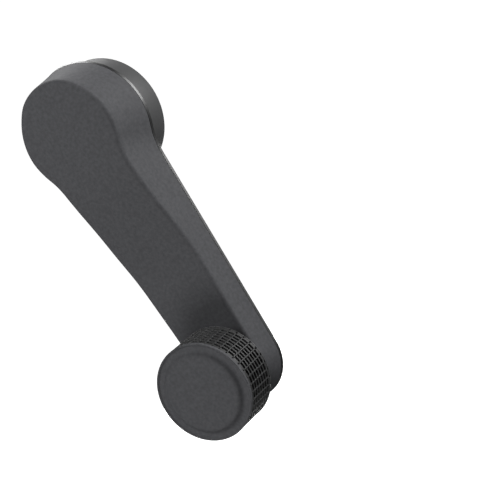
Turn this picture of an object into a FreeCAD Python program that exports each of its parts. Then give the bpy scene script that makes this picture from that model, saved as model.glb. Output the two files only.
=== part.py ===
import FreeCAD, Part
import math
import os

import Sketcher
from FreeCAD import Placement, Rotation, Vector

# Window winder crank for a car door, in millimetres.
# The spindle bore runs along Y: +Y points into the door, -Y towards the person who turns it.
# The arm hangs along -Z, and the knob axis is parallel to the bore at Z = -arm_length.
# Y = 0 is the collar's rear edge, the plane that meets the door trim.

doc = FreeCAD.newDocument("window_crank")
sheet = doc.addObject("Spreadsheet::Sheet", "dims")
sheet_rows = []


class Size:
    """A number together with the spreadsheet formula that gives it."""

    def __init__(self, value, text):
        self.value = float(value)
        self.text = text

    def __add__(self, other):
        other = as_size(other)
        return Size(self.value + other.value, "(%s + %s)" % (self.text, other.text))

    def __sub__(self, other):
        other = as_size(other)
        return Size(self.value - other.value, "(%s - %s)" % (self.text, other.text))

    def __mul__(self, other):
        other = as_size(other)
        return Size(self.value * other.value, "(%s * %s)" % (self.text, other.text))

    def __truediv__(self, other):
        other = as_size(other)
        return Size(self.value / other.value, "(%s / %s)" % (self.text, other.text))

    def __neg__(self):
        return Size(-self.value, "(-1 * %s)" % self.text)

    def sin(self):
        return Size(math.sin(math.radians(self.value)), "sin(%s)" % self.text)

    def cos(self):
        return Size(math.cos(math.radians(self.value)), "cos(%s)" % self.text)

    def tan(self):
        return Size(math.tan(math.radians(self.value)), "tan(%s)" % self.text)


def as_size(number):
    return number if isinstance(number, Size) else Size(number, repr(number))


def dim(alias, value):
    """Write one driving dimension into the sheet and hand it back as a Size."""
    sheet_rows.append(alias)
    cell = "B%d" % len(sheet_rows)
    sheet.set("A%d" % len(sheet_rows), alias)
    sheet.set(cell, str(value))
    sheet.setAlias(cell, alias)
    return Size(value, "dims." + alias)


# Arm outline, measured at the rim plane.
arm_length = dim("arm_length", 94.3)
hub_radius = dim("hub_radius", 23.5)
tip_radius = dim("tip_radius", 15.5)
neck_radius = dim("neck_radius", 27.0)
arm_taper = dim("arm_taper", 2.47)
draft = dim("draft", 18.0)

# Depths in front of the door trim plane.
rim_depth = dim("rim_depth", 11.7)
hub_front_depth = dim("hub_front_depth", 27.4)
tip_front_depth = dim("tip_front_depth", 21.1)
slope_centre = dim("slope_centre", 36.0)
slope_angle = dim("slope_angle", 10.0)
slope_blend = dim("slope_blend", 70.0)
edge_radius = dim("edge_radius", 2.4)

# Walls of the two-piece arm.
cover_wall = dim("cover_wall", 1.0)
frame_gap = dim("frame_gap", 0.1)
frame_wall = dim("frame_wall", 0.8)
flange_thickness = dim("flange_thickness", 0.9)
seam_gap = dim("seam_gap", 0.25)
floor_wall = dim("floor_wall", 1.4)

# Lattice of the frame.
rib_thickness = dim("rib_thickness", 0.9)
rib_depth = dim("rib_depth", 12.3)
rib_spacing = dim("rib_spacing", 16.8)
short_rib_spacing = dim("short_rib_spacing", 7.0)
cross_start = dim("cross_start", 24.0)
cross_middle = dim("cross_middle", 51.5)
cross_end = dim("cross_end", 82.0)
short_rib_end = dim("short_rib_end", 30.5)

# Hub boss and its splined socket.
boss_height = dim("boss_height", 1.1)
boss_radius = dim("boss_radius", 7.3)
boss_shoulder_radius = dim("boss_shoulder_radius", 9.1)
boss_shoulder_depth = dim("boss_shoulder_depth", 6.9)
bore_radius = dim("bore_radius", 6.45)
bore_depth = dim("bore_depth", 8.0)
socket_radius = dim("socket_radius", 6.0)
socket_length = dim("socket_length", 11.0)
spline_radius = dim("spline_radius", 4.6)
spline_count = dim("spline_count", 16)
spline_width = dim("spline_width", 0.32)
spline_height = dim("spline_height", 0.45)
hub_recess_radius = dim("hub_recess_radius", 22.6)
hub_recess_depth = dim("hub_recess_depth", 0.6)

# Release collar.
collar_radius = dim("collar_radius", 21.6)
collar_lip = dim("collar_lip", 1.2)
collar_front_depth = dim("collar_front_depth", 11.3)
collar_edge = dim("collar_edge", 0.3)
collar_ledge = dim("collar_ledge", 1.3)
skirt_radius = dim("skirt_radius", 18.4)
skirt_depth = dim("skirt_depth", 14.5)
skirt_wall = dim("skirt_wall", 1.2)

# Lock ring inside the collar.
lock_radius = dim("lock_radius", 19.5)
lock_flat = dim("lock_flat", 17.1)
lock_depth = dim("lock_depth", 3.0)
lock_bottom = dim("lock_bottom", 9.6)
lock_window_radius = dim("lock_window_radius", 18.3)
lock_chord_wall = dim("lock_chord_wall", 1.4)
lock_chord_half = dim("lock_chord_half", 9.3)
pad_inner_radius = dim("pad_inner_radius", 12.6)
pad_outer_radius = dim("pad_outer_radius", 17.6)
pad_depth = dim("pad_depth", 2.3)
pad_start = dim("pad_start", 144.0)
pad_sweep = dim("pad_sweep", 64.0)
groove_depth = dim("groove_depth", 3.9)
jaw_clearance = dim("jaw_clearance", 7.6)
jaw_depth = dim("jaw_depth", 4.3)
jaw_bottom = dim("jaw_bottom", 6.4)
tongue_depth = dim("tongue_depth", 3.3)
spring_depth = dim("spring_depth", 3.6)
spring_thickness = dim("spring_thickness", 1.7)
release_travel = dim("release_travel", 2.6)

# Knob, measured from the arm's rim plane towards the front.
knob_radius = dim("knob_radius", 17.5)
knob_front = dim("knob_front", 31.0)
grip_back = dim("grip_back", 14.7)
grip_wall = dim("grip_wall", 1.6)
cap_thickness = dim("cap_thickness", 2.4)
cap_flat_radius = dim("cap_flat_radius", 13.7)
cap_border_drop = dim("cap_border_drop", 0.7)
cap_skirt = dim("cap_skirt", 1.0)
bevel_radius = dim("bevel_radius", 13.0)
bevel_height = dim("bevel_height", 1.3)
knob_neck_radius = dim("knob_neck_radius", 8.2)
knob_recess = dim("knob_recess", 7.0)
head_room = dim("head_room", 6.5)

# Snap axle, its boss in the frame and the friction washer.
axle_radius = dim("axle_radius", 4.6)
axle_bore = dim("axle_bore", 3.2)
axle_barb = dim("axle_barb", 5.7)
axle_head = dim("axle_head", 7.4)
axle_head_height = dim("axle_head_height", 2.0)
axle_end = dim("axle_end", 13.0)
axle_slit = dim("axle_slit", 1.35)
slit_angle = dim("slit_angle", 7.4)
slit_depth = dim("slit_depth", 8.5)
axle_boss_radius = dim("axle_boss_radius", 8.25)
axle_boss_bore = dim("axle_boss_bore", 7.0)
axle_seat_depth = dim("axle_seat_depth", 16.2)
web_ring_radius = dim("web_ring_radius", 13.2)
running_gap = dim("running_gap", 0.05)
rim_width = dim("rim_width", 0.6)
knob_edge = dim("knob_edge", 0.4)
washer_thickness = dim("washer_thickness", 0.5)

doc.recompute()


# ---------------------------------------------------------------- helpers

def bind(thing, prop, size):
    """Bind a property to the sheet's formula."""
    thing.setExpression(prop, as_size(size).text)


def new_body(label):
    body = doc.addObject("PartDesign::Body", label)
    body.Label = label
    return body


def new_sketch(body, role, depth=None):
    """Sketch on one of the body's own origin planes, moved along the plane's normal."""
    sketch = body.newObject("Sketcher::SketchObject", body.Label + "_sketch")
    plane = [item for item in body.Origin.OriginFeatures if item.Role == role][0]
    sketch.AttachmentSupport = [(plane, "")]
    sketch.MapMode = "FlatFace"
    if depth is not None:
        sketch.AttachmentOffset = Placement(Vector(0, 0, as_size(depth).value), Rotation())
        bind(sketch, "AttachmentOffset.Base.z", depth)
    return sketch


def hold(sketch, constraint, size):
    """Add one dimension and bind it to the sheet."""
    index = sketch.addConstraint(constraint)
    bind(sketch, "Constraints[%d]" % index, size)


def polygon(sketch, corners):
    """Closed outline whose corners are all held by sizes from the sheet."""
    corners = [(as_size(x), as_size(y)) for x, y in corners]
    points = [Vector(x.value, y.value, 0) for x, y in corners]
    lines = [Part.LineSegment(points[k], points[(k + 1) % len(points)]) for k in range(len(points))]
    ids = sketch.addGeometry(lines, False)
    for k, line in enumerate(ids):
        sketch.addConstraint(Sketcher.Constraint("Coincident", line, 2, ids[(k + 1) % len(ids)], 1))
        x, y = corners[k]
        hold(sketch, Sketcher.Constraint("DistanceX", -1, 1, line, 1, x.value), x)
        hold(sketch, Sketcher.Constraint("DistanceY", -1, 1, line, 1, y.value), y)


def pad(body, sketch, length):
    feature = body.newObject("PartDesign::Pad", body.Label + "_pad")
    feature.Profile = sketch
    bind(feature, "Length", length)
    sketch.Visibility = False
    return feature


def pocket(body, sketch, length, reverse=False, both=False):
    """Cut, and make sure that the cut really took something away."""
    doc.recompute()
    before = body.Shape.Volume
    feature = body.newObject("PartDesign::Pocket", body.Label + "_pocket")
    feature.Profile = sketch
    bind(feature, "Length", length)
    feature.Reversed = reverse
    feature.Midplane = both
    doc.recompute()
    if not body.Shape.Volume < before - 0.01:
        raise RuntimeError("the pocket in %s cut nothing" % body.Label)
    return feature


def revolve(label, corners):
    """Turned piece about the bore axis: corners are (radius, Y)."""
    body = new_body(label)
    sketch = new_sketch(body, "XY_Plane")
    polygon(sketch, corners)
    feature = body.newObject("PartDesign::Revolution", label + "_revolution")
    feature.Profile = sketch
    feature.ReferenceAxis = (sketch, ["V_Axis"])
    feature.Angle = 360
    return body


def tube(label, outer, inner, back, front, drop=None):
    """Round tube about the bore axis, or about the knob axis when drop is given."""
    piece = revolve(label, [(inner, -back), (outer, -back), (outer, -front), (inner, -front)])
    if drop is not None:
        bind(piece, "Placement.Base.z", -drop)
    return piece


def rod(label, radius, back, front, drop=None):
    """Solid cylinder about the bore axis, or about the knob axis when drop is given."""
    return tube(label, radius, 0, back, front, drop)


def box(label, centre_x, width, back, front, top, bottom):
    """Upright box between two Y depths and two Z drops, centred on centre_x."""
    piece = doc.addObject("Part::Box", label)
    piece.Label = label
    bind(piece, "Length", width)
    bind(piece, "Width", as_size(front) - back)
    bind(piece, "Height", as_size(bottom) - top)
    bind(piece, "Placement.Base.x", as_size(centre_x) - as_size(width) / 2)
    bind(piece, "Placement.Base.y", -as_size(front))
    bind(piece, "Placement.Base.z", -as_size(bottom))
    return piece


def fuse(label, pieces):
    result = doc.addObject("Part::MultiFuse", label)
    result.Label = label
    result.Shapes = pieces
    return result


def cut(label, base, tool):
    result = doc.addObject("Part::Cut", label)
    result.Label = label
    result.Base = base
    result.Tool = tool
    return result


def common(label, pieces):
    result = doc.addObject("Part::MultiCommon", label)
    result.Label = label
    result.Shapes = pieces
    return result


# ---------------------------------------------------------------- arm envelope

def arm_outline(sketch, inset):
    """Hub arc, two neck arcs, two straight sides and the tip arc, all tangent."""
    hub = hub_radius - inset
    tip = tip_radius - inset
    neck = neck_radius + inset
    slant = math.radians(arm_taper.value)
    outward = Vector(math.cos(slant), -math.sin(slant), 0)
    along = Vector(-math.sin(slant), -math.cos(slant), 0)
    side_distance = tip.value + arm_length.value * math.sin(slant)
    reach = math.sqrt((hub.value + neck.value) ** 2 - (side_distance + neck.value) ** 2)
    neck_centre = outward * (side_distance + neck.value) + along * reach
    on_hub = neck_centre * (hub.value / (hub.value + neck.value))
    on_side = neck_centre - outward * neck.value
    tip_centre = Vector(0, -arm_length.value, 0)
    on_tip = tip_centre + outward * tip.value

    def mirrored(point):
        return Vector(-point.x, point.y, 0)

    def arc(centre, radius, start, end):
        first = math.atan2(start.y - centre.y, start.x - centre.x)
        last = math.atan2(end.y - centre.y, end.x - centre.x)
        if last < first:
            last += 2 * math.pi
        return Part.ArcOfCircle(Part.Circle(centre, Vector(0, 0, 1), radius), first, last)

    hub_arc, tip_arc, right_neck, left_neck, right_side, left_side = sketch.addGeometry([
        arc(Vector(0, 0, 0), hub.value, on_hub, mirrored(on_hub)),
        arc(tip_centre, tip.value, mirrored(on_tip), on_tip),
        arc(neck_centre, neck.value, on_hub, on_side),
        arc(mirrored(neck_centre), neck.value, mirrored(on_side), mirrored(on_hub)),
        Part.LineSegment(on_side, on_tip),
        Part.LineSegment(mirrored(on_tip), mirrored(on_side)),
    ], False)
    joins = [(hub_arc, 1, right_neck, 1), (right_neck, 2, right_side, 1), (right_side, 2, tip_arc, 2),
             (tip_arc, 1, left_side, 1), (left_side, 2, left_neck, 1), (left_neck, 2, hub_arc, 2)]
    for one, one_end, other, other_end in joins:
        sketch.addConstraint(Sketcher.Constraint("Tangent", one, one_end, other, other_end))
    sketch.addConstraint(Sketcher.Constraint("Coincident", hub_arc, 3, -1, 1))
    sketch.addConstraint(Sketcher.Constraint("PointOnObject", tip_arc, 3, -2))
    sketch.addConstraint(Sketcher.Constraint("Equal", right_neck, left_neck))
    hold(sketch, Sketcher.Constraint("DistanceY", tip_arc, 3, -1, 1, arm_length.value), arm_length)
    hold(sketch, Sketcher.Constraint("Radius", hub_arc, hub.value), hub)
    hold(sketch, Sketcher.Constraint("Radius", tip_arc, tip.value), tip)
    hold(sketch, Sketcher.Constraint("Radius", right_neck, neck.value), neck)


def is_front_face(face):
    """True for the faces that look towards the person."""
    umin, umax, vmin, vmax = face.ParameterRange
    return face.normalAt((umin + umax) / 2, (vmin + vmax) / 2).y < -0.9


def round_edges(body, front_faces, radius):
    """Fillet the edges that touch this many front faces: 2 for the bends, 1 for the front rim."""
    doc.recompute()
    names = []
    for number, edge in enumerate(body.Shape.Edges, 1):
        beside = [face for face in body.Shape.Faces if any(edge.isSame(other) for other in face.Edges)]
        if sum(is_front_face(face) for face in beside) == front_faces and len(beside) == 2:
            names.append("Edge%d" % number)
    last = body.Tip
    feature = body.newObject("PartDesign::Fillet", body.Label + "_fillet")
    feature.Base = (last, names)
    bind(feature, "Radius", radius)
    doc.recompute()


def envelope(label, inset, back, front_inset, rounding):
    """Arm solid: drafted walls, a front that slopes from hub to tip, and a rounded front edge."""
    body = new_body(label)
    back = as_size(back)
    front_inset = as_size(front_inset)
    outline = new_sketch(body, "XZ_Plane", back)
    arm_outline(outline, as_size(inset) + (back - rim_depth) * draft.tan())
    block = pad(body, outline, hub_front_depth + 3 - back)
    bind(block, "TaperAngle", -draft)

    side = new_sketch(body, "YZ_Plane")
    hub_front = front_inset - hub_front_depth
    tip_front = front_inset - tip_front_depth
    half_run = (hub_front_depth - tip_front_depth) / 2 / slope_angle.tan()
    clear = -hub_front_depth - 12
    top = hub_radius + 5
    low = -arm_length - tip_radius - 5
    polygon(side, [(hub_front, top), (hub_front, half_run - slope_centre), (tip_front, -half_run - slope_centre),
                   (tip_front, low), (clear, low), (clear, top)])
    pocket(body, side, hub_radius * 4, both=True)
    round_edges(body, 2, slope_blend)
    round_edges(body, 1, rounding)
    return body


# ---------------------------------------------------------------- arm

cover_back = rim_depth + flange_thickness + seam_gap
frame_inset = cover_wall + frame_gap
cavity_inset = frame_inset + frame_wall
floor_inset = frame_inset + floor_wall

cover_outside = envelope("cover_outside", 0, cover_back, 0, edge_radius)
cover_inside = envelope("cover_inside", cover_wall, rim_depth, cover_wall, edge_radius - cover_wall)

frame_outside = envelope("frame_outside", frame_inset, rim_depth, frame_inset, edge_radius - frame_inset)
frame_cavity = envelope("frame_cavity", cavity_inset, rim_depth - 1, floor_inset, 1.0)
flange = new_body("flange")
flange_sketch = new_sketch(flange, "XZ_Plane", rim_depth)
arm_outline(flange_sketch, 0.1)
bind(pad(flange, flange_sketch, flange_thickness), "TaperAngle", -draft)

# Everything inside the cavity grows out of its walls and floor.
inner_limit = envelope("inner_limit", cavity_inset - 0.3, rim_depth - 6, floor_inset - 0.3, 1.0)


def long_rib(label, x, top, bottom):
    return box(label, x, rib_thickness, rib_depth, hub_front_depth, top, bottom)


def cross_rib(label, x_from, drop_from, x_to, drop_to):
    """Slanted rib between two points given as X and drop below the bore axis."""
    run = math.hypot(x_to.value - x_from.value, drop_to.value - drop_from.value)
    lean = math.degrees(math.atan2(x_to.value - x_from.value, drop_to.value - drop_from.value))
    piece = doc.addObject("Part::Box", label)
    piece.Label = label
    bind(piece, "Length", rib_thickness)
    bind(piece, "Width", hub_front_depth - rib_depth)
    piece.Height = run
    turn = Rotation(Vector(0, 1, 0), -lean)
    corner = turn.multVec(Vector(rib_thickness.value / 2, 0, 0))
    piece.Placement = Placement(Vector(x_to.value, -hub_front_depth.value, -drop_to.value) - corner, turn)
    return piece


side = rib_spacing / 2
ribs = []
for name, sign in (("left", -1), ("right", 1)):
    ribs.append(long_rib("long_rib_" + name, side * sign, boss_radius, arm_length - web_ring_radius))
    ribs.append(long_rib("short_rib_" + name, short_rib_spacing * sign / 2, boss_radius, short_rib_end))
    ribs.append(cross_rib("upper_cross_" + name, side * sign, cross_start, -side * sign, cross_middle))
    ribs.append(cross_rib("lower_cross_" + name, side * sign, cross_middle, -side * sign, cross_end))

web_outside = rod("web_outside", web_ring_radius + rib_thickness + 0.2, rib_depth, hub_front_depth, arm_length)
web_inside = rod("web_inside", web_ring_radius, rim_depth - 3, hub_front_depth + 3, arm_length)
lattice = cut("lattice", fuse("rib_set", ribs + [web_outside]), web_inside)

spokes = []
for k in range(6):
    spoke = doc.addObject("Part::Box", "spoke_%d" % k)
    bind(spoke, "Length", web_ring_radius + 1 - axle_boss_bore)
    bind(spoke, "Width", hub_front_depth - rib_depth)
    bind(spoke, "Height", rib_thickness)
    turn = Rotation(Vector(0, 1, 0), 60 * k)
    start = turn.multVec(Vector(axle_boss_bore.value + 0.4, 0, -rib_thickness.value / 2))
    spoke.Placement = Placement(start + Vector(0, -hub_front_depth.value, -arm_length.value), turn)
    spokes.append(spoke)

axle_boss = rod("axle_boss", axle_boss_radius, rib_depth - 0.2, hub_front_depth, arm_length)
hub_boss = rod("hub_boss", boss_radius, -boss_height, hub_front_depth - floor_inset)
hub_shoulder = rod("hub_shoulder", boss_shoulder_radius, boss_shoulder_depth, hub_front_depth)
inside_parts = common("inside_parts", [fuse("inner_set", [lattice, axle_boss, hub_shoulder] + spokes), inner_limit])
frame_shell = cut("frame_shell", fuse("frame_block", [frame_outside, flange]), frame_cavity)
frame_blank = fuse("frame_blank", [frame_shell, inside_parts, hub_boss])

axle_hole = axle_radius + running_gap
skirt_room = skirt_radius + 0.5
room_depth = skirt_depth + 0.6
frame_holes = fuse("frame_holes", [
    rod("bore", bore_radius, -boss_height - 1, bore_depth),
    rod("socket_seat", socket_radius, bore_depth - 1, bore_depth + socket_length),
    tube("hub_recess", hub_recess_radius, boss_shoulder_radius + 1, rim_depth - 2, rim_depth + hub_recess_depth),
    rod("axle_recess", axle_boss_bore, rib_depth - 2, axle_seat_depth, arm_length),
    rod("axle_hole", axle_hole, axle_seat_depth - 1, hub_front_depth, arm_length),
    tube("skirt_room", skirt_room, boss_shoulder_radius + 1, rim_depth - 2, room_depth),
    tube("skirt_room_low", skirt_room, boss_shoulder_radius + 4, rim_depth - 2, room_depth, release_travel),
])
arm_frame = cut("arm_frame", frame_blank, frame_holes)

cover_shell = cut("cover_shell", cover_outside, cover_inside)
arm_cover = cut("arm_cover", cover_shell, rod("cover_hole", axle_hole + 0.1, rim_depth, hub_front_depth, arm_length))

# Splined insert that takes the window regulator's spindle: narrow grooves in a round bore.
socket_blank = tube("socket_blank", socket_radius, spline_radius, bore_depth, bore_depth + socket_length)
grooves = []
for k in range(int(spline_count.value)):
    groove = doc.addObject("Part::Box", "spline_%d" % k)
    bind(groove, "Length", spline_height + 1)
    bind(groove, "Width", socket_length + 2)
    bind(groove, "Height", spline_width)
    turn = Rotation(Vector(0, 1, 0), 360.0 / spline_count.value * k)
    start = turn.multVec(Vector(spline_radius.value - 1, 0, -spline_width.value / 2))
    groove.Placement = Placement(start + Vector(0, -bore_depth.value - socket_length.value - 1, 0), turn)
    grooves.append(groove)
spindle_socket = cut("spindle_socket", socket_blank, fuse("spline_set", grooves))


# ---------------------------------------------------------------- release collar and lock ring

collar_inside = collar_radius - collar_lip
collar = revolve("collar", [
    (collar_inside, 0),
    (collar_radius - collar_edge, 0),
    (collar_radius, -collar_edge),
    (collar_radius, -collar_front_depth),
    (collar_inside, -collar_front_depth),
    (collar_inside, -lock_bottom - collar_ledge),
    (skirt_radius, -lock_bottom - collar_ledge),
    (skirt_radius, -skirt_depth),
    (skirt_radius - skirt_wall, -skirt_depth),
    (skirt_radius - skirt_wall, -lock_bottom),
    (collar_inside, -lock_bottom),
])


def plate(label, corners, back, front):
    """Flat piece with a straight-sided outline of (X, Z) corners."""
    body = new_body(label)
    sketch = new_sketch(body, "XZ_Plane", back)
    polygon(sketch, corners)
    pad(body, sketch, as_size(front) - back)
    return body


def sector(label, inner, outer, start, sweep, back, front):
    """Part of a tube, from one angle to another, counted from +X towards +Z."""
    piece = tube(label, outer, inner, back, front)
    piece.Tip.setExpression("Angle", sweep.text)
    piece.Placement = Placement(Vector(), Rotation(Vector(0, 1, 0), -start.value - sweep.value))
    return piece


def ribbon(points, thickness, back, front):
    """Strip of even thickness along a smooth path of (X, Z) points."""
    path = Part.BSplineCurve()
    path.interpolate([Vector(x, -front.value, z) for x, z in points])
    sides = ([], [])
    steps = 24
    for k in range(steps + 1):
        place = path.FirstParameter + (path.LastParameter - path.FirstParameter) * k / steps
        across = path.tangent(place)[0].cross(Vector(0, 1, 0)) * (thickness.value / 2)
        sides[0].append(path.value(place) + across)
        sides[1].append(path.value(place) - across)
    curves = []
    for side in sides:
        curve = Part.BSplineCurve()
        curve.interpolate(side)
        curves.append(curve.toShape())
    caps = [Part.makeLine(sides[0][end], sides[1][end]) for end in (0, -1)]
    face = Part.Face(Part.Wire(Part.__sortEdges__(curves + caps)))
    return face.extrude(Vector(0, front.value - back.value, 0))


lock_disc = rod("lock_disc", lock_radius, lock_depth, lock_bottom)
beyond_flat = box("beyond_flat", lock_flat + 5, 10, lock_depth - 1, lock_bottom + 1, -lock_radius, lock_radius)
lock_window = rod("lock_window", lock_window_radius, lock_depth - 1, lock_bottom + 1)
lock_wall = cut("lock_wall", lock_disc, fuse("lock_cuts", [beyond_flat, lock_window]))
chord_wall = box("chord_wall", lock_flat - lock_chord_wall / 2, lock_chord_wall, lock_depth, lock_bottom,
                 -lock_chord_half, lock_chord_half)
jaw = plate("jaw", [(16.6, 8.3), (12.3, 8.3), (9.9, 6.2), (7.0, 4.6), (2.0, 0.0), (3.2, -6.8), (4.3, -9.0),
                    (8.4, -10.2), (11.0, -9.6), (14.2, -12.4), (16.6, -9.0)], jaw_depth, jaw_bottom)
tongue = plate("tongue", [(0.3, 18.6), (-5.6, 18.2), (-4.6, 11.5), (-3.9, 10.7), (-2.3, 10.6), (-1.6, 11.4)],
               tongue_depth, jaw_bottom)
pad_block = sector("pad_block", pad_inner_radius, pad_outer_radius, pad_start, pad_sweep, pad_depth, lock_bottom)
pad_floor = sector("pad_floor", pad_outer_radius - 1, lock_window_radius + 0.6, pad_start, pad_sweep, groove_depth,
                   lock_bottom)
pad_middle = (pad_inner_radius + pad_outer_radius) / 2
pad_round = (pad_outer_radius - pad_inner_radius) / 2
pad_ends = []
for name, angle in (("upper", pad_start), ("lower", pad_start + pad_sweep)):
    end = rod("pad_end_" + name, pad_round, pad_depth, lock_bottom)
    bind(end, "Placement.Base.x", pad_middle * angle.cos())
    bind(end, "Placement.Base.z", pad_middle * angle.sin())
    pad_ends.append(end)

hook_spring = doc.addObject("Part::Feature", "hook_spring")
hook_spring.Shape = ribbon([(10.6, 6.6), (9.2, 8.6), (7.4, 11.0), (5.0, 12.6), (2.6, 12.4), (1.5, 10.8),
                            (2.7, 9.0), (5.0, 8.2), (6.9, 7.3)], spring_thickness, spring_depth, jaw_bottom)

boss_room = fuse("boss_room", [
    rod("boss_room_rest", jaw_clearance, 0, lock_bottom + 1),
    rod("boss_room_released", jaw_clearance, 0, lock_bottom + 1, -release_travel),
    box("boss_room_between", 0, jaw_clearance * 2, 0, lock_bottom + 1, -release_travel, 0),
])
lock_blank = fuse("lock_blank", [lock_wall, chord_wall, jaw, tongue, pad_block, pad_floor, hook_spring] + pad_ends)
lock_ring = cut("lock_ring", lock_blank, boss_room)


# ---------------------------------------------------------------- knob

knob_front_depth = rim_depth + knob_front
grip_back_depth = rim_depth + grip_back
core_radius = knob_radius - grip_wall
neck_back = tip_front_depth + washer_thickness + running_gap * 2
cap_back = knob_front_depth - cap_thickness
head_seat = cap_back - head_room
bevel_back = grip_back_depth - bevel_height

knob_core = revolve("knob_core", [
    (axle_hole, -neck_back),
    (knob_neck_radius, -neck_back),
    (knob_neck_radius, -bevel_back - knob_recess),
    (bevel_radius, -bevel_back - knob_recess),
    (bevel_radius, -bevel_back),
    (knob_radius - knob_edge, -grip_back_depth),
    (knob_radius - 0.1, -grip_back_depth - knob_edge),
    (knob_radius - 0.1, -grip_back_depth - rim_width),
    (core_radius, -grip_back_depth - rim_width),
    (core_radius, -cap_back),
    (axle_head + 0.4, -cap_back),
    (axle_head + 0.4, -head_seat),
    (axle_hole, -head_seat),
])
knob_grip = tube("knob_grip", knob_radius - 0.1, core_radius, grip_back_depth + rim_width, cap_back + cap_skirt)
knob_cap = revolve("knob_cap", [
    (0, -cap_back),
    (core_radius, -cap_back),
    (core_radius, -cap_back - cap_skirt),
    (knob_radius, -cap_back - cap_skirt),
    (knob_radius, -knob_front_depth + cap_border_drop + knob_edge),
    (knob_radius - knob_edge, -knob_front_depth + cap_border_drop),
    (cap_flat_radius, -knob_front_depth),
    (0, -knob_front_depth),
])

axle_blank = revolve("axle_blank", [
    (axle_bore, -axle_end),
    (axle_barb - 0.3, -axle_end),
    (axle_barb, -axle_end - 0.3),
    (axle_barb, -axle_seat_depth),
    (axle_radius, -axle_seat_depth),
    (axle_radius, -head_seat - running_gap),
    (axle_head, -head_seat - running_gap),
    (axle_head, -head_seat - axle_head_height),
    (axle_bore, -head_seat - axle_head_height),
])
slit = doc.addObject("Part::Box", "slit")
bind(slit, "Length", axle_barb * 2 + 2)
bind(slit, "Width", slit_depth + 1)
bind(slit, "Height", axle_slit)
slit_turn = Rotation(Vector(0, 1, 0), -slit_angle.value)
slit_start = slit_turn.multVec(Vector(-axle_barb.value - 1, 0, -axle_slit.value / 2))
slit.Placement = Placement(slit_start + Vector(0, -axle_end.value - slit_depth.value, 0), slit_turn)
knob_axle = cut("knob_axle", axle_blank, slit)
friction_washer = tube("friction_washer", knob_neck_radius + 0.5, axle_radius + 0.2, tip_front_depth,
                       tip_front_depth + washer_thickness)

knob_pieces = [knob_core, knob_grip, knob_cap, knob_axle, friction_washer]
for piece in knob_pieces:
    bind(piece, "Placement.Base.z", -arm_length)

# ---------------------------------------------------------------- check and write

pieces = [arm_cover, arm_frame, spindle_socket, collar, lock_ring] + knob_pieces
doc.recompute()
for thing in doc.Objects:
    if "Invalid" in thing.State or "Error" in thing.State:
        raise RuntimeError("%s did not build: %s" % (thing.Label, thing.getStatusString()))
os.makedirs("parts", exist_ok=True)
for piece in pieces:
    shape = piece.Shape
    if shape.isNull() or not shape.isValid() or not shape.Solids:
        raise RuntimeError("%s has no sound solid" % piece.Label)
    shape.exportStep("parts/%s.step" % piece.Label)
    bounds = shape.BoundBox
    print("%-16s %d solid(s) %9.1f mm3  X %.1f..%.1f  Y %.1f..%.1f  Z %.1f..%.1f" % (
        piece.Label, len(shape.Solids), shape.Volume, bounds.XMin, bounds.XMax, bounds.YMin, bounds.YMax,
        bounds.ZMin, bounds.ZMax))
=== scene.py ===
import math

import bmesh
import bpy
from mathutils import Matrix, Vector


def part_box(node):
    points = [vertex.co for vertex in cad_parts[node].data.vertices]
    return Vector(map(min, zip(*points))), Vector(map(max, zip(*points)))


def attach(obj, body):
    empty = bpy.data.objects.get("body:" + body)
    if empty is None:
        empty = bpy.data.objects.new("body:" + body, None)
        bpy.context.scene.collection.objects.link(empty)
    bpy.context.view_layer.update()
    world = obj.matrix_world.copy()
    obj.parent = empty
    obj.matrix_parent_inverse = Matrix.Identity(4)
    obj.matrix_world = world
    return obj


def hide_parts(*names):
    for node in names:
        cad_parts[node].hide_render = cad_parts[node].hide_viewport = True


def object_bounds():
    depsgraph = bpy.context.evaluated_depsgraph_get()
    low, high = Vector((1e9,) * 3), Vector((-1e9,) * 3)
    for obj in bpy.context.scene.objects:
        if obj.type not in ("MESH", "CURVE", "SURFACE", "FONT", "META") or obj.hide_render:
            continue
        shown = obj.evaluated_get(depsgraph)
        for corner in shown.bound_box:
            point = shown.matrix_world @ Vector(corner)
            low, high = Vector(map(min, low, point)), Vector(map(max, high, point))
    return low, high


# Window winder crank for a car door. All lengths are metres in the CAD frame: the bore axis is Y,
# -Y is the side the hand turns, the arm hangs along -Z and the knob axis is parallel to the bore.

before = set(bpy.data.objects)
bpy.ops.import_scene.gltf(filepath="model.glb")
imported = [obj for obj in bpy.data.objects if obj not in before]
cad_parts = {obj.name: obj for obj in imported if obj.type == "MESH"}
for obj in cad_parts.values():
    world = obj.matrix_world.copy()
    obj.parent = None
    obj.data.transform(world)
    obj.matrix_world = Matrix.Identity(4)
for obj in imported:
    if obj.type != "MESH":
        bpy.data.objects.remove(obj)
cad_box = [list(corner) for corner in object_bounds()]

MM = 0.001

# ---------------------------------------------------------------- places taken from the frame

cover_low, cover_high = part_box("arm_cover")
cap_low, cap_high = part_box("knob_cap")
core_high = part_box("knob_core")[1]
grip_low, grip_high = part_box("knob_grip")
collar_low, collar_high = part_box("collar")
washer_low, washer_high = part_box("friction_washer")

hub_radius = cover_high.z
knob_z = (cap_low.z + cap_high.z) / 2
tip_radius = knob_z - cover_low.z
rim_y = cover_high.y
hub_front = cover_low.y
tip_front = washer_high.y
knob_radius = (cap_high.x - cap_low.x) / 2
collar_radius = (collar_high.x - collar_low.x) / 2
washer_radius = (washer_high.x - washer_low.x) / 2


# ---------------------------------------------------------------- mesh helpers

def ease(value):
    """Smooth step from 0 to 1."""
    value = max(0, min(1, value))
    return value * value * (3 - 2 * value)


def placed(name, data):
    """Object that shows the data, linked into the scene."""
    item = bpy.data.objects.new(name, data)
    bpy.context.scene.collection.objects.link(item)
    return item


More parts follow.
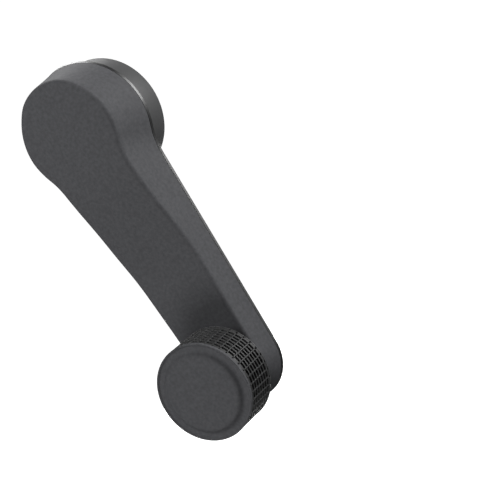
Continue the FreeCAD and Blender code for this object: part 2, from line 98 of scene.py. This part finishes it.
def closed_mesh(name, verts, faces):
    """Mesh of those faces, all turned to face outwards."""
    mesh = bpy.data.meshes.new(name)
    mesh.from_pydata([tuple(v) for v in verts], [], faces)
    shape = bmesh.new()
    shape.from_mesh(mesh)
    bmesh.ops.recalc_face_normals(shape, faces=shape.faces)
    shape.to_mesh(mesh)
    shape.free()
    return mesh


def add_piece(mesh, name, body, node, material, smooth_angle=40):
    """Shade a mesh, put it in the scene in place of a CAD node and attach it to its body."""
    mesh.shade_smooth()
    mesh.set_sharp_from_angle(angle=math.radians(smooth_angle))
    mesh.materials.clear()
    mesh.materials.append(material)
    piece = placed(name, mesh)
    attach(piece, body)
    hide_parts(node)


def applied(holder):
    """The holder's mesh with its modifiers worked in; the holder itself goes."""
    bpy.context.view_layer.update()
    graph = bpy.context.evaluated_depsgraph_get()
    mesh = bpy.data.meshes.new_from_object(holder.evaluated_get(graph))
    bpy.data.objects.remove(holder)
    return mesh


def rounded(corners, steps=4):
    """Closed outline of (radius, y, rounding) corners, each rounded as far as its sides allow."""
    points = []
    count = len(corners)
    for k, (r, y, rounding) in enumerate(corners):
        here = Vector((r, y))
        before = Vector(corners[k - 1][:2]) - here
        after = Vector(corners[(k + 1) % count][:2]) - here
        reach = min(rounding, before.length * 0.48, after.length * 0.48)
        if reach < 1e-6:
            points.append(here)
            continue
        start = here + before.normalized() * reach
        end = here + after.normalized() * reach
        for step in range(steps + 1):
            t = step / steps
            points.append(start * (1 - t) ** 2 + here * 2 * t * (1 - t) + end * t ** 2)
    return points


def turned(name, corners, axis_z, body, node, material, segments=144):
    """Solid of revolution about a line parallel to Y at x = 0, z = axis_z."""
    outline = rounded(corners)
    verts, faces, loops = [], [], []
    for radius, y in outline:
        if radius < 1e-7:
            loops.append([len(verts)])
            verts.append((0, y, axis_z))
            continue
        loops.append(list(range(len(verts), len(verts) + segments)))
        for k in range(segments):
            angle = 2 * math.pi * k / segments
            verts.append((radius * math.cos(angle), y, axis_z + radius * math.sin(angle)))
    for k, first in enumerate(loops):
        second = loops[(k + 1) % len(loops)]
        if len(first) == 1 and len(second) == 1:
            continue
        for s in range(segments):
            t = (s + 1) % segments
            if len(first) == 1:
                faces.append((first[0], second[s], second[t]))
            elif len(second) == 1:
                faces.append((first[s], second[0], first[t]))
            else:
                faces.append((first[s], second[s], second[t], first[t]))
    add_piece(closed_mesh(name, verts, faces), name, body, node, material)


def softened(node, width, body, material):
    """Copy of a CAD solid with every sharp edge rounded off."""
    shape = bmesh.new()
    shape.from_mesh(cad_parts[node].data)
    bmesh.ops.remove_doubles(shape, verts=shape.verts, dist=0.002 * MM)
    flat = math.radians(0.6)
    bmesh.ops.dissolve_limit(shape, angle_limit=flat, verts=shape.verts, edges=shape.edges)
    mesh = bpy.data.meshes.new("holder")
    shape.to_mesh(mesh)
    shape.free()
    holder = placed("holder", mesh)
    bevel = holder.modifiers.new("edges", "BEVEL")
    bevel.width = width
    bevel.segments = 2
    bevel.limit_method = "ANGLE"
    bevel.angle_limit = math.radians(40)
    bevel.use_clamp_overlap = False
    add_piece(applied(holder), node + "_soft", body, node, material, smooth_angle=35)


# ---------------------------------------------------------------- materials

cloud_size = MM / 0.9
gloss_spread = 0.07
subsurface_reach = 0.8 * MM


def plastic(name, colour, roughness, grain_size, grain_depth, mottle=0.06, specular=0.5, subsurface=0.0):
    """Moulded or coated plastic: a fine grain in bump and gloss, and a faint unevenness of colour."""
    material = bpy.data.materials.new(name)
    material.use_nodes = True
    nodes = material.node_tree.nodes
    links = material.node_tree.links
    shader = nodes["Principled BSDF"]
    shader.inputs["Specular IOR Level"].default_value = specular
    shader.inputs["Subsurface Weight"].default_value = subsurface
    shader.inputs["Subsurface Scale"].default_value = subsurface_reach
    place = nodes.new("ShaderNodeTexCoord")

    cloud = nodes.new("ShaderNodeTexNoise")
    cloud.inputs["Scale"].default_value = 1 / cloud_size
    cloud.inputs["Detail"].default_value = 4
    links.new(place.outputs["Object"], cloud.inputs["Vector"])
    tone = nodes.new("ShaderNodeValToRGB")
    tone.color_ramp.elements[0].position = 0.3
    tone.color_ramp.elements[1].position = 0.7
    tone.color_ramp.elements[0].color = tuple(c * (1 - mottle) for c in colour) + (1,)
    tone.color_ramp.elements[1].color = tuple(min(1, c * (1 + mottle)) for c in colour) + (1,)
    links.new(cloud.outputs["Fac"], tone.inputs["Fac"])
    links.new(tone.outputs["Color"], shader.inputs["Base Color"])

    grain = nodes.new("ShaderNodeTexNoise")
    grain.inputs["Scale"].default_value = 1 / grain_size
    grain.inputs["Detail"].default_value = 3
    links.new(place.outputs["Object"], grain.inputs["Vector"])
    gloss = nodes.new("ShaderNodeMapRange")
    gloss.inputs["To Min"].default_value = roughness - gloss_spread
    gloss.inputs["To Max"].default_value = roughness + gloss_spread
    links.new(grain.outputs["Fac"], gloss.inputs["Value"])
    links.new(gloss.outputs["Result"], shader.inputs["Roughness"])
    bump = nodes.new("ShaderNodeBump")
    bump.inputs["Strength"].default_value = 1.0
    bump.inputs["Distance"].default_value = grain_depth
    links.new(grain.outputs["Fac"], bump.inputs["Height"])
    links.new(bump.outputs["Normal"], shader.inputs["Normal"])
    return material


def washer_metal():
    """Pressed spring steel with a fine grain."""
    material = plastic("washer_steel", (0.42, 0.42, 0.43), 0.32, 0.12 * MM, 0.004 * MM)
    material.node_tree.nodes["Principled BSDF"].inputs["Metallic"].default_value = 1.0
    return material


soft_touch = plastic("soft_touch", (0.052, 0.0525, 0.056), 0.72, 0.22 * MM, 0.035 * MM,
                     mottle=0.14, specular=0.16)
cap_touch = plastic("cap_touch", (0.05, 0.0505, 0.054), 0.72, 0.22 * MM, 0.035 * MM,
                    mottle=0.14, specular=0.16)
frame_black = plastic("frame_black", (0.011, 0.0112, 0.0113), 0.4, 0.3 * MM, 0.02 * MM, specular=0.4)
collar_black = plastic("collar_black", (0.04, 0.0403, 0.041), 0.5, 0.35 * MM, 0.012 * MM, specular=0.25)
knob_black = plastic("knob_black", (0.028, 0.0285, 0.029), 0.5, 0.25 * MM, 0.02 * MM)
grip_black = plastic("grip_black", (0.012, 0.0122, 0.0125), 0.55, 0.2 * MM, 0.02 * MM, specular=0.35)
lock_acetal = plastic("lock_acetal", (0.25, 0.27, 0.295), 0.38, 0.5 * MM, 0.012 * MM, mottle=0.04)
axle_white = plastic("axle_white", (0.6, 0.625, 0.65), 0.36, 0.5 * MM, 0.01 * MM, mottle=0.03, subsurface=0.2)
socket_nylon = plastic("socket_nylon", (0.12, 0.112, 0.1), 0.45, 0.4 * MM, 0.02 * MM)
washer_steel = washer_metal()


# ---------------------------------------------------------------- arm cover

neck_radius = 27.25 * MM
taper = math.radians(2.47)
slope_middle = -36 * MM
slope_angle = math.radians(10)
slope_blend = 6.1 * MM
wall_hollow = 1.15
front_rounding = 1.8 * MM
cover_wall = 1.0 * MM
crown = 0.2 * MM
crown_taper = 8 * MM
cover_hole = 4.75 * MM
across_face = 24


def half_outline():
    """Points and outward normals (x, z) of the rear rim, from the hub's top down +X to the tip."""
    outward = Vector((math.cos(taper), -math.sin(taper)))
    along = Vector((-math.sin(taper), -math.cos(taper)))
    side = tip_radius - knob_z * math.sin(taper)
    reach = math.sqrt((hub_radius + neck_radius) ** 2 - (side + neck_radius) ** 2)
    neck_centre = outward * (side + neck_radius) + along * reach
    tip_centre = Vector((0, knob_z))
    hub_end = math.atan2(neck_centre.y, neck_centre.x)
    points = []

    def sweep(centre, radius, start, end, steps, facing):
        for k in range(steps):
            angle = start + (end - start) * k / steps
            ray = Vector((math.cos(angle), math.sin(angle)))
            points.append((centre + ray * radius, ray * facing))

    sweep(Vector((0, 0)), hub_radius, math.pi / 2, hub_end, 56, 1)
    sweep(neck_centre, neck_radius, hub_end + math.pi, math.pi - taper, 18, -1)
    on_side = neck_centre - outward * neck_radius
    on_tip = tip_centre + outward * tip_radius
    for k in range(34):
        points.append((on_side.lerp(on_tip, k / 34), outward.copy()))
    sweep(tip_centre, tip_radius, -taper, -math.pi / 2, 30, 1)
    points.append((tip_centre + Vector((0, -tip_radius)), Vector((0, -1))))
    return points


def ramp(distance):
    """Straight slope that eases in over the blend length."""
    if distance <= -slope_blend:
        return 0
    if distance >= slope_blend:
        return distance
    return (distance + slope_blend) ** 2 / (4 * slope_blend)


def front_at(z):
    """Depth of the arm's front face: the hub stands proud and slopes down to the tip."""
    half_run = (tip_front - hub_front) / 2 / math.tan(slope_angle)
    rise = ramp(z - slope_middle + half_run) - ramp(z - slope_middle - half_run)
    return tip_front - rise * math.tan(slope_angle)


# (z, inset) marks in mm: how far the front face's edge lies inside the rear rim, from hub to tip.
inset_marks = [(24, 2.0), (21, 2.4), (17, 3.4), (10, 4.1), (0, 4.6), (-6, 4.9), (-10.5, 4.8),
               (-14, 4.4), (-18, 3.9), (-25, 3.9), (-33, 3.8), (-43, 3.4), (-57, 3.2), (-75, 3.2),
               (-112, 2.8)]


def inset_at(z):
    """Smooth curve through the marks."""
    z = z / MM
    k = 0
    while k < len(inset_marks) - 2 and z < inset_marks[k + 1][0]:
        k += 1

    def slope(n):
        a, b = inset_marks[max(n - 1, 0)], inset_marks[min(n + 1, len(inset_marks) - 1)]
        return (b[1] - a[1]) / (b[0] - a[0])

    (z0, v0), (z1, v1) = inset_marks[k], inset_marks[k + 1]
    run = z1 - z0
    t = max(0, min(1, (z - z0) / run))
    value = ((2 * t + 1) * (1 - t) ** 2 * v0 + t * (1 - t) ** 2 * run * slope(k)
             + t * t * (3 - 2 * t) * v1 - t * t * (1 - t) * run * slope(k + 1))
    return value * MM


def cover_rings(shift):
    """Rings from the rear rim to the front face's edge, for a skin that lies shift inside the surface."""
    half = half_outline()
    outline = half + [(Vector((-p.x, p.y)), Vector((-n.x, n.y))) for p, n in half[-2:0:-1]]
    wall_steps, edge_steps = 10, 9
    rings = []
    for step in range(wall_steps + edge_steps + 1):
        ring = []
        for point, normal in outline:
            front = front_at(point.y - normal.y * shift) + shift
            height = rim_y - front
            lean = inset_at(point.y) / (height + shift)
            flare = wall_hollow * lean
            curl = (wall_hollow - 1) * lean / (height + shift)
            rounding = front_rounding - shift
            top_lean = math.atan(flare - 2 * curl * height)
            tangent = rounding * math.tan((math.pi / 2 - top_lean) / 2)
            corner = flare * height - curl * height ** 2
            if step <= wall_steps:
                up = (height - tangent * math.cos(top_lean)) * step / wall_steps
                inset = flare * up - curl * up ** 2
                y = rim_y - up
            else:
                turn = top_lean + (math.pi / 2 - top_lean) * (step - wall_steps) / edge_steps
                inset = corner + tangent - rounding * math.cos(turn)
                y = None
            place = point - normal * (inset + shift)
            if y is None:
                y = front_at(place.y) + shift + rounding * (1 - math.sin(turn))
            ring.append(Vector((place.x, y, place.y)))
        rings.append(ring)
    return rings


def skin(rings, shift, bulge):
    """Vertices and faces of one side of the cover: its wall rings and the front face across them."""
    verts, faces = [], []
    count = len(rings[0])
    for ring in rings:
        verts.extend(ring)
    for k in range(len(rings) - 1):
        for s in range(count):
            t = (s + 1) % count
            faces.append((k * count + s, k * count + t, (k + 1) * count + t, (k + 1) * count + s))
    first = (len(rings) - 1) * count
    half = count // 2
    rows = [[first]]
    for s in range(1, half):
        right, left = rings[-1][s], rings[-1][count - s]
        row = [first + s]
        for k in range(1, across_face):
            spot = right.lerp(left, k / across_face)
            lift = bulge * (1 - (2 * k / across_face - 1) ** 2) * min(1, abs(right.x) / crown_taper)
            spot.y = front_at(spot.z) + shift - lift
            row.append(len(verts))
            verts.append(spot)
        row.append(first + count - s)
        rows.append(row)
    rows.append([first + half])
    for upper, lower in zip(rows, rows[1:]):
        for k in range(across_face):
            if len(upper) == 1:
                faces.append((upper[0], lower[k], lower[k + 1]))
            elif len(lower) == 1:
                faces.append((upper[k], upper[k + 1], lower[0]))
            else:
                faces.append((upper[k], upper[k + 1], lower[k + 1], lower[k]))
    return verts, faces


def drilled(mesh, radius, front, back, segments=64):
    """The mesh with a round hole along the knob axis."""
    verts = []
    for y in (front, back):
        for k in range(segments):
            angle = 2 * math.pi * k / segments
            verts.append((radius * math.cos(angle), y, knob_z + radius * math.sin(angle)))
    faces = [(k, (k + 1) % segments, segments + (k + 1) % segments, segments + k) for k in range(segments)]
    faces += [tuple(range(segments - 1, -1, -1)), tuple(range(segments, 2 * segments))]
    plug_mesh = bpy.data.meshes.new("plug")
    plug_mesh.from_pydata(verts, [], faces)
    holder = placed("holder", mesh)
    plug = placed("plug", plug_mesh)
    hole = holder.modifiers.new("hole", "BOOLEAN")
    hole.object = plug
    hole.operation = "DIFFERENCE"
    hole.solver = "EXACT"
    result = applied(holder)
    bpy.data.objects.remove(plug)
    return result


def arm_cover():
    """Soft-touch shell with slightly hollow side walls and one soft crease round the front."""
    outside = cover_rings(0)
    inside = cover_rings(cover_wall)
    count = len(outside[0])
    verts, faces = skin(outside, 0, crown)
    start = len(verts)
    inner_verts, inner_faces = skin(inside, cover_wall, 0)
    verts.extend(inner_verts)
    faces.extend(tuple(start + k for k in face) for face in inner_faces)
    for s in range(count):
        t = (s + 1) % count
        faces.append((s, t, start + t, start + s))
    mesh = closed_mesh("arm_cover_shell", verts, faces)
    mesh = drilled(mesh, cover_hole, tip_front - 2 * cover_wall, tip_front + 3 * cover_wall)
    add_piece(mesh, "arm_cover_shell", "arm", "arm_cover", soft_touch, smooth_angle=50)


arm_cover()


# ---------------------------------------------------------------- release collar and lock ring

lip = 1.2 * MM
skirt_outer = 18.4 * MM
skirt_inner = 17.2 * MM
shelf_y = -9.6 * MM
ledge_y = -10.9 * MM
collar_front = -11.3 * MM

turned("collar_turned", [
    (collar_radius - lip, collar_high.y, 0.3 * MM),
    (collar_radius, collar_high.y, 0.6 * MM),
    (collar_radius, collar_front, 0.25 * MM),
    (collar_radius - lip, collar_front, 0.25 * MM),
    (collar_radius - lip, ledge_y, 0.3 * MM),
    (skirt_outer, ledge_y, 0.3 * MM),
    (skirt_outer, collar_low.y, 0.25 * MM),
    (skirt_inner, collar_low.y, 0.25 * MM),
    (skirt_inner, shelf_y, 0.3 * MM),
    (collar_radius - lip, shelf_y, 0.3 * MM),
], 0, "release", "collar", collar_black)

softened("lock_ring", 0.22 * MM, "release", lock_acetal)


# ---------------------------------------------------------------- knob

axle_hole = 4.65 * MM
knob_neck = 8.2 * MM
bevel_radius = 13.0 * MM
bevel_height = 1.3 * MM
recess_depth = 7.0 * MM
head_room = 7.8 * MM
head_seat = 6.5 * MM
grip_wall = 1.6 * MM
rim_width = 0.6 * MM
flat_radius = 13.7 * MM
border_drop = 0.8 * MM
rim_drop = 0.3 * MM
face_rise = 0.9 * MM
washer_bore = 4.85 * MM

core_radius = knob_radius - grip_wall
grip_back = grip_high.y + rim_width
bevel_back = grip_back + bevel_height

turned("knob_core_turned", [
    (axle_hole, core_high.y, 0.2 * MM),
    (knob_neck, core_high.y, 0.4 * MM),
    (knob_neck, bevel_back - recess_depth, 0.6 * MM),
    (bevel_radius, bevel_back - recess_depth, 0.6 * MM),
    (bevel_radius, bevel_back, 0.5 * MM),
    (knob_radius - 0.4 * MM, grip_back, 0.9 * MM),
    (knob_radius, grip_back - 0.3 * MM, 0.15 * MM),
    (knob_radius, grip_high.y, 0.12 * MM),
    (core_radius, grip_high.y, 0.1 * MM),
    (core_radius, cap_high.y, 0.1 * MM),
    (head_room, cap_high.y, 0.2 * MM),
    (head_room, cap_high.y + head_seat, 0.2 * MM),
    (axle_hole, cap_high.y + head_seat, 0.2 * MM),
], knob_z, "knob", "knob_core", knob_black)

turned("knob_cap_turned", [
    (0, cap_high.y, 0),
    (core_radius, cap_high.y, 0.1 * MM),
    (core_radius, grip_low.y, 0.1 * MM),
    (knob_radius, grip_low.y, 0.15 * MM),
    (knob_radius, cap_low.y + rim_drop, 0.2 * MM),
    (knob_radius - 0.5 * MM, cap_low.y + rim_drop, 0.2 * MM),
    (knob_radius - 1.0 * MM, cap_low.y + border_drop, 0.4 * MM),
    (flat_radius + 1.1 * MM, cap_low.y + border_drop - 0.1 * MM, 0.8 * MM),
    (flat_radius - 0.3 * MM, cap_low.y - face_rise, 1.1 * MM),
    (0, cap_low.y - face_rise, 0),
], knob_z, "knob", "knob_cap", cap_touch)

turned("friction_washer_pressed", [
    (washer_bore, washer_high.y, 0.12 * MM),
    (washer_radius, washer_high.y, 0.15 * MM),
    (washer_radius, washer_low.y, 0.15 * MM),
    (washer_bore, washer_low.y, 0.12 * MM),
], knob_z, "arm", "friction_washer", washer_steel, segments=96)

softened("knob_axle", 0.15 * MM, "arm", axle_white)


def knurled_grip():
    """Rubber band moulded with columns of small pockets between thin straight rails."""
    columns, rows = 40, 7
    rail_half, rail_edge = 0.17 * MM, 0.13 * MM
    rung_half, rung_edge = 0.3 * MM, 0.28 * MM
    rung_drop, pocket_depth = 0.1 * MM, 1.1 * MM
    notch_length, notch_half, notch_edge = 0.95 * MM, 0.45 * MM, 0.1 * MM
    row_pitch = 1.78 * MM
    under_rim = 0.05 * MM
    outer = knob_radius - under_rim
    length = grip_high.y - grip_low.y
    pitch = 2 * math.pi * outer / columns
    end_land = (length - (rows - 1) * row_pitch) / 2

    # Mesh lines, in mm: across from a rail's middle, and down from a pocket's middle or an end.
    side_marks = [0, 0.09, 0.17, 0.24, 0.3, 0.42, 0.7, 1.05]
    around = [k * pitch + mark * MM for k in range(columns) for mark in side_marks]
    around += [(k + 1) * pitch - mark * MM for k in range(columns) for mark in side_marks[1:]]
    around += [(k + 0.5) * pitch for k in range(columns)]
    around.sort()
    groove_marks = [0, 0.16, 0.31, 0.42, 0.52, 0.6]
    end_marks = [0, 0.1, 0.25, 0.4, 0.55, 0.7]
    along = [mark * MM for mark in end_marks]
    for k in range(rows):
        middle = end_land + k * row_pitch
        along += [middle + mark * MM * sign for mark in groove_marks for sign in (-1, 1)]
        along.append(middle + row_pitch / 2)
    along = sorted(set(round(a, 7) for a in along if a < length / 2))
    along += [length / 2] + [length - a for a in reversed(along)]

    def depth(across, down):
        to_rail = abs((across / pitch + 0.5) % 1 - 0.5) * pitch
        to_groove = min(abs(down - end_land - k * row_pitch) for k in range(rows))
        to_end = min(down, length - down)
        cell = ease((to_rail - rail_half) / rail_edge)
        groove = ease((row_pitch / 2 - rung_half - to_groove) / rung_edge)
        sunk = cell * (rung_drop + (pocket_depth - rung_drop) * groove)
        notch = notch_half * (1 - to_end / notch_length)
        return max(sunk, pocket_depth * ease((notch - to_rail) / notch_edge) if to_end > 0 else 0)

    verts, faces = [], []
    count = len(around)
    for down in along:
        for across in around:
            radius = outer - depth(across, down)
            angle = across / outer
            verts.append((radius * math.cos(angle), grip_high.y - down, knob_z + radius * math.sin(angle)))
    for y in (grip_low.y, grip_high.y):
        for across in around:
            angle = across / outer
            verts.append((core_radius * math.cos(angle), y, knob_z + core_radius * math.sin(angle)))
    rings = len(along) + 2
    for k in range(rings):
        for s in range(count):
            t = (s + 1) % count
            n = (k + 1) % rings
            faces.append((k * count + s, n * count + s, n * count + t, k * count + t))
    mesh = closed_mesh("knob_grip_knurled", verts, faces)
    add_piece(mesh, "knob_grip_knurled", "knob", "knob_grip", grip_black, smooth_angle=60)


knurled_grip()


# ---------------------------------------------------------------- CAD nodes that show as they are

for node, material in (("arm_frame", frame_black), ("spindle_socket", socket_nylon)):
    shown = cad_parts[node]
    shown.data.materials.clear()
    shown.data.materials.append(material)


# ---------------------------------------------------------------- floor, light and camera

def stage_piece(name, verts, faces):
    """Floor or backdrop: seen by the camera only, so that it neither lights nor darkens the crank."""
    mesh = bpy.data.meshes.new(name)
    mesh.from_pydata(verts, [], faces)
    material = plastic(name + "_paper", (0.5, 0.5, 0.5), 0.9, 2 * MM, 0.02 * MM, mottle=0.01, specular=0)
    shader = material.node_tree.nodes["Principled BSDF"]
    shader.inputs["Emission Color"].default_value = (1, 1, 1, 1)
    shader.inputs["Emission Strength"].default_value = 1.0
    mesh.materials.append(material)
    piece = placed(name, mesh)
    piece.visible_diffuse = False
    piece.visible_glossy = False
    piece.visible_shadow = False


def stage():
    """Pale floor under the crank and a pale round backdrop behind it."""
    floor_gap = 60 * MM
    reach, rows, around = 5.0, 12, 48
    pole_gap = 0.98
    drop = cad_box[0][2] - floor_gap
    corners = [(-reach, -reach), (reach, -reach), (reach, reach), (-reach, reach)]
    stage_piece("floor", [(x, y, drop) for x, y in corners], [(0, 1, 2, 3)])
    verts, faces = [], []
    for row in range(rows + 1):
        lift = math.pi * (row / rows - 0.5) * pole_gap
        ring_radius, ring_z = reach * math.cos(lift), reach * math.sin(lift)
        for k in range(around):
            turn = 2 * math.pi * k / around
            verts.append((ring_radius * math.cos(turn), ring_radius * math.sin(turn), ring_z))
    for row in range(rows):
        low, high = row * around, (row + 1) * around
        for k in range(around):
            n = (k + 1) % around
            faces.append((low + k, low + n, high + n, high + k))
    faces += [tuple(range(around - 1, -1, -1)), tuple(range(rows * around, (rows + 1) * around))]
    stage_piece("backdrop", verts, faces)


def softbox(name, place, aim, size, power):
    """Square soft light of that size and power, turned towards the aim."""
    data = bpy.data.lights.new(name, "AREA")
    data.shape = "SQUARE"
    data.size = size
    data.energy = power
    lamp = placed(name, data)
    lamp.location = place
    lamp.rotation_mode = "QUATERNION"
    lamp.rotation_quaternion = (Vector(aim) - Vector(place)).to_track_quat("-Z", "Y")


def studio():
    """Faint even surroundings, two soft lights in front, one beside and two behind."""
    world = bpy.data.worlds.new("studio")
    world.use_nodes = True
    sky = world.node_tree.nodes["Background"]
    sky.inputs["Color"].default_value = (1, 1, 1, 1)
    sky.inputs["Strength"].default_value = 0.08
    bpy.context.scene.world = world
    bpy.context.scene.view_settings.view_transform = "Standard"
    middle = (0, -20 * MM, -30 * MM)
    # Name, place in metres, size in metres and power in watts.
    lamps = [
        ("key_high", (-0.06, -0.32, 0.2), 0.25, 1.3),
        ("key_low", (-0.08, -0.36, -0.24), 0.2, 0.9),
        ("side", (0.62, 0.27, 0.14), 0.35, 9.5),
        ("rear_high", (-0.2, 0.45, 0.6), 0.35, 5.0),
        ("rear_low", (-0.4, 0.55, -0.2), 0.35, 4.5),
    ]
    for name, place, size, power in lamps:
        softbox(name, place, middle, size, power)


def front_camera():
    """Camera in front and to the right of the crank, rolled so that the arm slants across the view."""
    right = Vector((0.72812, 0.41967, -0.54196))
    up = Vector((0.43040, 0.33546, 0.83799))
    look = Vector((-0.53348, 0.84342, -0.06363))
    data = bpy.data.cameras.new("camera")
    data.sensor_width = 36.0
    data.lens = 129.6
    data.clip_start = 0.01
    data.clip_end = 20.0
    camera = placed("camera", data)
    place = Matrix.Translation((0.35004, -0.52345, -0.02499))
    camera.matrix_world = place @ Matrix((right, up, -look)).transposed().to_4x4()
    bpy.context.scene.camera = camera


stage()
studio()
front_camera()
